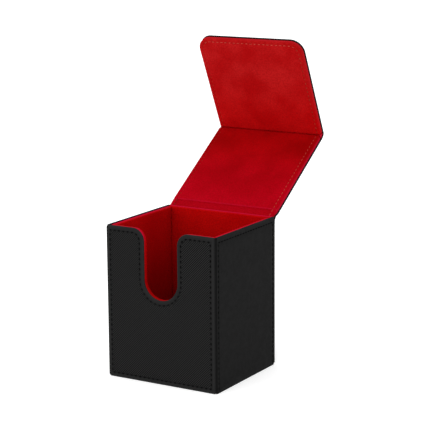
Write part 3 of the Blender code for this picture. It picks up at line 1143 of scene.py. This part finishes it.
LID_STRIP_STEPS = 16
LID_STRIP_BEND = 97.5 * MM  # height where the leatherette strip leaves the back wall
LID_STRIP_PULL = 4 * MM
LID_STRIP_TAPER = 4 * MM  # distance behind the box over which the strip narrows to the lid's width
LID_STRIP_DIP = 2 * MM  # the bend begins this far below the back wall's top
LID_STRIP_FLATS = 3  # steps along the back wall, up to the bend
LID_LINING_DIP = 4 * MM  # the lining's hidden face starts this far below the back wall's top
LID_LINING_PULL = 6 * MM


def lid_strip_ends():
    """Where the lid hinge bends: from the back wall's rim to the foot of the lid's board."""
    foot = extent("lid_lining", PLACES["lid"])[0]
    end = lid_point(foot.y, foot.z)
    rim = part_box("back_lining")[1]
    return (0, rim.y, rim.z - LID_STRIP_DIP), (0, *end)


def build_lid_hinge_leather():
    back_high = leather("back")[1]
    lid_low, lid_high = leather("lid")
    direction = lid_point(1, 0) - lid_point(0, 0)
    end = lid_point(lid_low.y, lid_high.z)
    pull = np.array([0, LID_STRIP_PULL])
    bend = np.array([back_high.z, LID_STRIP_BEND])
    curve, left = hermite(bend, pull, end, LID_STRIP_PULL * direction, LID_STRIP_STEPS)
    flat = [(back_high.z, z) for z in np.linspace(back_high.y, LID_STRIP_BEND, LID_STRIP_FLATS + 1)[:-1]]
    outer = np.vstack([flat, curve])
    outwards = np.vstack([[(1.0, 0.0)] * len(flat), -left])
    thickness = lid_high.z - lid_low.z
    half_width = extent("lid_hinge_leather", PLACES["back"])[1].x + COVER_SPREAD
    seam_x = half_width - COVER_SPREAD - FLAP_SEAM_INSET
    widening = (back_high.x - half_width) * (1 - smooth((outer[:, 0] - back_high.z) / LID_STRIP_TAPER))
    size = (half_width, LEATHER_EDGE, seam_x, LEATHER_CHANNEL)
    build = plain_ribbon(*size, outer - outwards * thickness, (outer, outwards), widening)
    bodies = ("case", "lid")
    ends = lid_strip_ends()
    add_blended("lid_hinge_cover", "lid_hinge_leather", build, "leather", bodies, ends)
    courses = [strip_course(outer, outwards, x, LEATHER_CHANNEL) for x in (-seam_x, seam_x)]
    seam = add_black_seam(courses, "lid_hinge_outer_stitching", 31)
    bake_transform(seam, *bodies, start=ends[0], end=ends[1])


RECESS_DEPTH = 1.1 * MM
RECESS_RISE = 1.2 * MM  # over which the recess falls from each ridge
RECESS_EDGE = 4.2 * MM  # the border beyond the seams stays level
RIDGE_WIDTH = 1.1 * MM  # the recess's two sides carry a painted highlight
RIDGE_RIM = 0.9


def build_lid_hinge_lining():
    """Suede between the back wall's rim and the lid's board: a shallow trough whose two ends are level."""
    half_width = extent("lid_hinge_lining", PLACES["lid"])[1].x + LINING_SPREAD
    foot = extent("lid_lining", PLACES["lid"])[0]
    lid_end = lid_point(foot.y - GLUE_LINE, foot.z)
    rim_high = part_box("back_lining")[1]
    wall = np.array([rim_high.y + GLUE_LINE, rim_high.z])
    line = lid_end - wall
    length = np.linalg.norm(line)
    shares = np.linspace(0, 1, LID_STRIP_STEPS + 1)
    upper = wall + shares[:, None] * line
    normal = np.array([-line[1], line[0]]) / length
    normals = np.tile(normal, (len(upper), 1))
    leather_low = leather("lid")[0]
    below_lid = lid_point(foot.y - GLUE_LINE, leather_low.z - GLUE_LINE)
    below_wall = np.array([rim_high.y + GLUE_LINE, rim_high.z - LID_LINING_DIP])
    direction = lid_point(1, 0) - lid_point(0, 0)
    pull = np.array([0, LID_LINING_PULL])
    lower = hermite(below_wall, pull, below_lid, LID_LINING_PULL * direction, LID_STRIP_STEPS)[0]
    seam_x = half_width - LINING_SPREAD - FLAP_SEAM_INSET
    stations = strip_stations(half_width, LINING_EDGE, seam_x)
    walk = shares * length
    trough = smooth(walk / RECESS_RISE) * smooth((length - walk) / RECESS_RISE)
    ridge = 1 - smooth(np.minimum(walk, length - walk) / RIDGE_WIDTH)

    def drop(x):
        near = half_width - abs(x)
        level = float(smooth((near - FLAP_SEAM_INSET) / (RECESS_EDGE - FLAP_SEAM_INSET)))
        pressed = float(channel_share(abs(abs(x) - seam_x)))
        offset = RECESS_DEPTH * level * trough + float(edge_drop(near, LINING_EDGE))
        offset = offset + LINING_CHANNEL * pressed
        # painted shade in the recess, carried by the darkening attribute
        shade = np.maximum(pressed, level * trough)
        rim = np.maximum(RIDGE_RIM * ridge, LINING_RIM * edge_highlight(near, LINING_EDGE))
        return offset, rim, shade

    build = ribbon(stations, lower, (upper, normals), drop)
    bmesh.ops.translate(build, verts=build.verts, vec=LINING_SHIFT)
    bodies = ("case", "lid")
    ends = lid_strip_ends()
    add_blended("lid_hinge_suede", "lid_hinge_lining", build, "lid_suede", bodies, ends)
    looks = (("right", seam_x, RED_SEAM, 32, THIN_THREAD), ("left", -seam_x, SHADED_RED_SEAM, 33, DOT_THREAD))
    for name, x, look, seed, size in looks:
        course = strip_course(upper, normals, x, LINING_CHANNEL)
        seam = add_seam(f"lid_hinge_inner_stitching_{name}", [course], look, "lining", seed, **size)
        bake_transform(seam, *bodies, start=ends[0], end=ends[1])


def fold_line():
    """The fold, in the lid's frame: where the lid's and the flap's inner planes meet."""
    lid_inner = extent("lid_lining", PLACES["lid"])[0].z
    flap_inner = extent("flap_lining", PLACES["flap"])[0].z
    turn = radians(-JOINTS["flap_hinge"]["range_deg"][0])
    axis = PLACES["lid"].inverted() @ Vector(JOINTS["flap_hinge"]["pos_m"])
    depth = axis.z - lid_inner
    reach = (depth * cos(turn) + flap_inner) / sin(turn)
    return axis.y + reach, lid_inner, turn


def fold_arc(radius, steps=ARC_STEPS):
    """An arc round the fold in the YZ plane, from the lid's side to the flap's, and its outward normals."""
    y, z, turn = fold_line()
    points, normals = [], []
    centre = lid_point(y, z)
    for i in range(steps + 1):
        angle = turn * i / steps
        point = lid_point(y + radius * sin(angle), z + radius * cos(angle))
        points.append(point)
        normals.append((point - centre) / radius)
    return np.array(points), np.array(normals)


def skew_fold(build, profile):
    """Shifts a fold strip's lid side by as much as the skewed lid. profile is the fold's outer side."""
    low, high = profile[0][1], profile[-1][1]
    for vert in build.verts:
        share = (vert.co.z - low) / (high - low)
        vert.co.x -= LID_SKEW * (1 - float(smooth(share)))


CREASE = 0.4 * MM  # radius of the suede at the fold's inner side


def fold_ends(radius):
    """Where the fold bends: from the lid's side to the flap's."""
    middle = fold_arc(radius)[0]
    return (0, *middle[0]), (0, *middle[-1])


def build_flap_hinge():
    lid_low, lid_high = leather("lid")
    inner_plane = fold_line()[1]
    seam_x = lid_high.x - FLAP_SEAM_INSET
    outer_radius = lid_high.z - inner_plane
    inner_radius = lid_low.z - inner_plane

    outer, normals = fold_arc(outer_radius)
    size = (lid_high.x + COVER_SPREAD, LEATHER_EDGE, seam_x, LEATHER_CHANNEL)
    build = plain_ribbon(*size, fold_arc(inner_radius)[0], (outer, normals))
    skew_fold(build, outer)
    bodies = ("lid", "flap")
    ends = fold_ends((outer_radius + inner_radius) / 2)
    add_blended("flap_hinge_cover", "flap_hinge_leather", build, "leather", bodies, ends)
    courses = [strip_course(outer, normals, x, LEATHER_CHANNEL) for x in (-seam_x, seam_x)]
    seam = add_black_seam(courses, "flap_hinge_outer_stitching", 34)
    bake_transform(seam, *bodies, start=ends[0], end=ends[1])

    filler = inner_radius - GLUE_LINE
    face, face_normals = fold_arc(CREASE)
    size = (lid_high.x + LINING_SPREAD, LINING_EDGE, seam_x, 0.0)
    build = plain_ribbon(*size, fold_arc(filler)[0], (face, -face_normals))
    skew_fold(build, outer)
    bmesh.ops.translate(build, verts=build.verts, vec=LINING_SHIFT)
    ends = fold_ends((CREASE + filler) / 2)
    add_blended("flap_hinge_suede", "flap_hinge_lining", build, "lid_suede", bodies, ends)


# ---- Camera, light and floor ----


CAMERA_PLACE = Vector((538.46, -861.65, 317.72)) * MM
CAMERA_AZIMUTH = radians(31.143)
CAMERA_ELEVATION = radians(11.897)
CAMERA_ROLL = radians(-0.401)
CAMERA_LENS = 135.02


def add_camera():
    across = Vector((cos(CAMERA_AZIMUTH), sin(CAMERA_AZIMUTH), 0))
    back = Vector((sin(CAMERA_AZIMUTH), -cos(CAMERA_AZIMUTH), 0)) * cos(CAMERA_ELEVATION)
    back.z = sin(CAMERA_ELEVATION)
    up = back.cross(across)
    right = across * cos(CAMERA_ROLL) + up * sin(CAMERA_ROLL)
    upright = up * cos(CAMERA_ROLL) - across * sin(CAMERA_ROLL)
    data = bpy.data.cameras.new("camera")
    data.lens = CAMERA_LENS
    data.sensor_width = 36
    data.clip_start = 0.01
    data.clip_end = 100
    camera = bpy.data.objects.new("camera", data)
    turn = Matrix((right, upright, back)).transposed().to_4x4()
    camera.matrix_world = Matrix.Translation(CAMERA_PLACE) @ turn
    bpy.context.scene.collection.objects.link(camera)
    bpy.context.scene.camera = camera


FLOOR_RADIUS = 30
FLOOR_GLOW = 0.35  # the floor is lit a little from below, so that shadows on it stay faint


def add_soft_sun(name, towards, strength):
    """A broad light from far away, as from a large tent wall."""
    data = bpy.data.lights.new(name, "SUN")
    data.angle = radians(80)
    data.energy = strength
    light = bpy.data.objects.new(name, data)
    light.rotation_mode = "QUATERNION"
    light.rotation_quaternion = Vector(towards).to_track_quat("-Z", "Y")
    bpy.context.scene.collection.objects.link(light)


def add_studio():
    scene = bpy.context.scene
    scene.view_settings.view_transform = "Standard"
    world = bpy.data.worlds.new("studio")
    world.use_nodes = True
    background = world.node_tree.nodes["Background"]
    background.inputs["Color"].default_value = (1.0, 1.0, 1.0, 1.0)
    background.inputs["Strength"].default_value = 1.0
    scene.world = world
    add_soft_sun("key", (0.25, 0.80, -0.55), 0.9)

    colours = ((0.93, 0.93, 0.93), (0.95, 0.95, 0.95))
    material = grained("pale_floor", 0.1, colours, (3 * MM,), (0.9, 1.0), 0.01 * MM)
    shader = material.node_tree.nodes["Principled BSDF"]
    shader.inputs["Emission Color"].default_value = (1.0, 1.0, 1.0, 1.0)
    shader.inputs["Emission Strength"].default_value = FLOOR_GLOW
    build = bmesh.new()
    bmesh.ops.create_circle(build, cap_ends=True, radius=FLOOR_RADIUS, segments=64)
    floor = add_mesh("floor", build, Matrix.Identity(4), [material])


def finish_hidden_nodes():
    """Boards and magnets keep their CAD shapes."""
    for name, obj in frame["nodes"].items():
        kind = "board" if name.endswith("board") else "magnet" if "magnet" in name else None
        if kind:
            obj.data.materials.clear()
            obj.data.materials.append(MATERIALS[kind])


def build_box():
    build_front()
    build_side("left", 12)
    build_side("right", 13)
    build_back()
    build_base()
    corners = (SMALLEST_RADIUS, WALL_LINING_CORNER)
    build_wall_lining("front", lambda x, low, high: notched(x, low, high, *corners))
    corners = (SMALLEST_RADIUS, SMALLEST_RADIUS)
    for panel, drop in LINING_DROPS.items():
        build_wall_lining(panel, lambda x, low, high: rounded(x, low, high - drop, *corners))


def build_lid_and_flap():
    build_lid_cover()
    build_flap_cover()
    build_lid_lining()
    build_flap_lining()
    build_lid_hinge_leather()
    build_lid_hinge_lining()
    build_flap_hinge()


add_camera()
add_studio()
build_box()
build_lid_and_flap()
finish_hidden_nodes()
